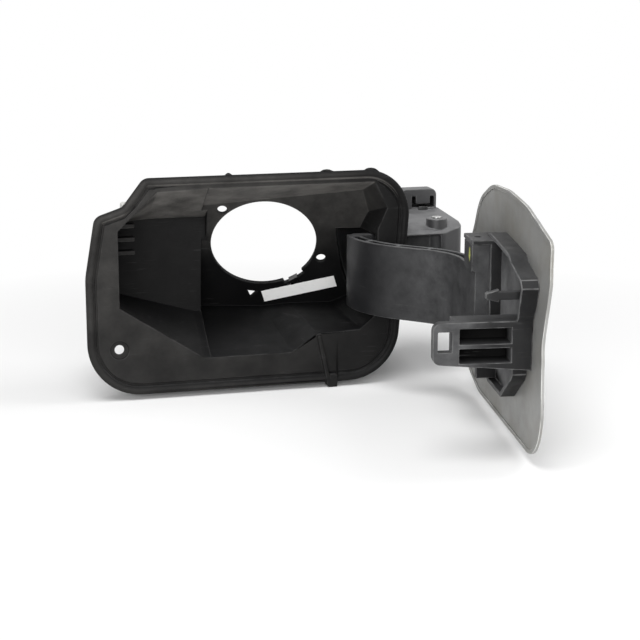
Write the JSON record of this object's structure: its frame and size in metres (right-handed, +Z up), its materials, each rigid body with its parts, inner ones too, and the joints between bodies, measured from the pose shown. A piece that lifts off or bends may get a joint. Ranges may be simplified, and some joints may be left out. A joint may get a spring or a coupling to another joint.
{
  "type": "car fuel door",
  "caption": "Moulded filler bowl with a flange, a hole for the filler neck and a boxed gooseneck hinge that carries a painted door with a striker on its inner frame.",
  "frame": {"origin": "middle of the bowl's flange, on the plane of the flange's back face", "axes": "+X right along the flange towards the hinge, +Y into the bowl, +Z up along the hinge pin"},
  "size_m": [0.2355, 0.2778, 0.1331],
  "materials": {
    "bowl_plastic": "soft matte black with dust",
    "box_plastic": "satin dark grey",
    "arm_plastic": "satin black",
    "frame_plastic": "satin dark grey",
    "door_paint": "silver grey paint, dull on the inside",
    "bright_steel": "plain bright steel",
    "label_film": "blank white film",
    "light_plastic": "light grey"
  },
  "bodies": {
    "housing": {"filler_bowl": "bowl_plastic", "blank_label": "label_film", "earth_tab": "bright_steel", "rim_stud": "light_plastic", "hinge_box": "box_plastic", "box_clip": "bright_steel", "box_screws": "bright_steel", "hinge_pin": "bright_steel", "pin_clip": "bright_steel", "hinge_spring": "bright_steel"},
    "door": {"gooseneck_arm": "arm_plastic", "arm_pins": "bright_steel", "door_frame": "frame_plastic", "door_skin": "door_paint"}
  },
  "joints": [
    {"name": "door_hinge", "type": "hinge", "parent": "housing", "child": "door", "pos_m": [0.121, 0.009, 0], "axis": [0, 0, 1], "range_deg": [-82.6, 0], "deforming": ["hinge_spring"]}
  ]
}
